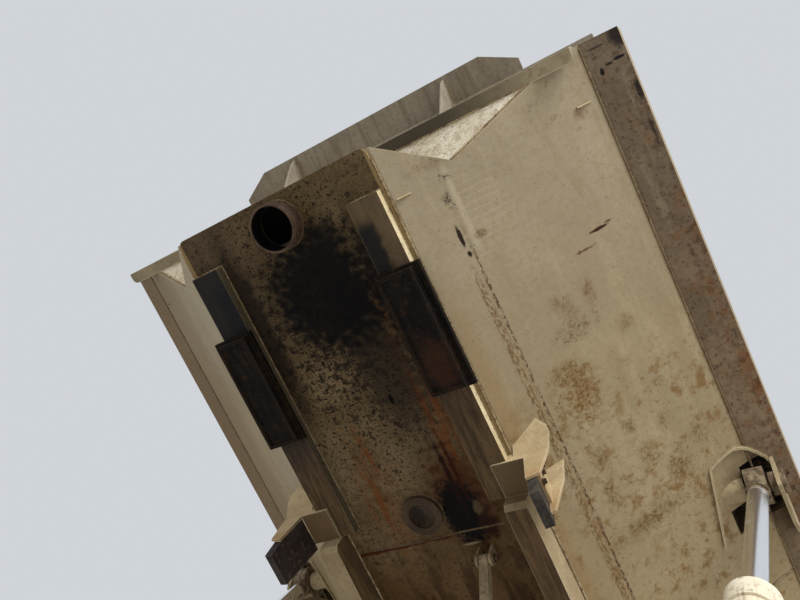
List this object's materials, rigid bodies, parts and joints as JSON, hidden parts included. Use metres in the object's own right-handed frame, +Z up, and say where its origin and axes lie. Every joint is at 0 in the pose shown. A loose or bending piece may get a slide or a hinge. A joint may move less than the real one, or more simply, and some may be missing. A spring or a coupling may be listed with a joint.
{
  "type": "tipping dump body with two hoist cylinders",
  "caption": "Steel dump body of an articulated dump truck, raised on two hoist cylinders, with exhaust duct floor, rest pads, guides, pivot pins and a safety prop.",
  "frame": {"origin": "midway between the two pivot pins, on their axis", "axes": "+X across to the truck's left along the pivot pins, +Y to the truck's rear, +Z up; the body is stored tipped 30 degrees, front end up"},
  "size_m": [2.934, 4.6855, 4.1233],
  "materials": {
    "cream_paint": "dusty, rust-spotted cream paint",
    "sooty_paint": "soot over brown paint",
    "rusty_edge": "brown dirty paint with rust specks",
    "worn_steel": "scoured steel with rust",
    "pad_rubber": "matt black rubber",
    "rod_chrome": "polished hard chrome",
    "barrel_paint": "dusty cream paint",
    "pin_steel": "greasy, rust-stained steel"
  },
  "bodies": {
    "pivot": {"pivot_pin_left": "pin_steel", "pivot_pin_right": "pin_steel"},
    "dump_body": {"duct_plate": "sooty_paint", "duct_nose": "cream_paint", "floor_plate": "worn_steel", "tail_chute": "worn_steel", "tail_lip": "worn_steel", "tail_beams": "cream_paint", "lower_side_left": "cream_paint", "lower_side_right": "cream_paint", "chine_left": "rusty_edge", "chine_right": "rusty_edge", "side_wall_left": "cream_paint", "side_wall_right": "cream_paint", "top_rail_left": "cream_paint", "top_rail_right": "cream_paint", "front_wall_lower": "cream_paint", "front_wall_upper": "cream_paint", "knee_beam": "cream_paint", "front_rail": "cream_paint", "canopy": "cream_paint", "canopy_gussets": "cream_paint", "exhaust_inlet": "sooty_paint", "lower_port": "sooty_paint", "rest_rail_left": "cream_paint", "rest_rail_right": "cream_paint", "rest_pad_left": "pad_rubber", "rest_pad_right": "pad_rubber", "hinge_beam_left": "cream_paint", "hinge_beam_right": "cream_paint", "cross_tube": "cream_paint", "guide_left": "cream_paint", "guide_right": "cream_paint", "wear_block_left": "pad_rubber", "wear_block_right": "pad_rubber", "hoist_ear_left": "cream_paint", "hoist_ear_right": "cream_paint", "hoist_pin_left": "pin_steel", "hoist_pin_right": "pin_steel", "prop_lug": "cream_paint"},
    "rod_left": {"hoist_rod_left": "rod_chrome"},
    "rod_right": {"hoist_rod_right": "rod_chrome"},
    "barrel_left": {"hoist_barrel_left": "barrel_paint"},
    "barrel_right": {"hoist_barrel_right": "barrel_paint"},
    "prop": {"safety_prop": "cream_paint"}
  },
  "joints": [
    {"name": "tip", "type": "hinge", "parent": "pivot", "child": "dump_body", "pos_m": [0, 0, 0], "axis": [-1, 0, 0], "range_deg": [-30, 35]},
    {"name": "rod_swing_left", "type": "hinge", "parent": "dump_body", "child": "rod_left", "pos_m": [1.297, -0.85358, 1.28956], "axis": [-1, 0, 0], "range_deg": [-32, 27.5]},
    {"name": "rod_swing_right", "type": "hinge", "parent": "dump_body", "child": "rod_right", "pos_m": [-1.297, -0.85358, 1.28956], "axis": [-1, 0, 0], "range_deg": [-32, 27.5]},
    {"name": "barrel_slide_left", "type": "slide", "parent": "rod_left", "child": "barrel_left", "axis": [-0.068, -0.6968, -0.714], "range_m": [-0.77, 0.9]},
    {"name": "barrel_slide_right", "type": "slide", "parent": "rod_right", "child": "barrel_right", "axis": [0.068, -0.6968, -0.714], "range_m": [-0.77, 0.9]},
    {"name": "prop_swing", "type": "hinge", "parent": "dump_body", "child": "prop", "pos_m": [0.205, -1.4499, 0.90869], "axis": [1, 0, 0], "range_deg": [-40, 58]}
  ],
  "couplings": [
    {"joint": "rod_swing_left", "follows": "tip", "ratio": -0.9},
    {"joint": "rod_swing_right", "follows": "tip", "ratio": -0.9},
    {"joint": "barrel_slide_left", "follows": "tip", "m_per_rad": 1.461},
    {"joint": "barrel_slide_right", "follows": "tip", "m_per_rad": 1.461}
  ]
}
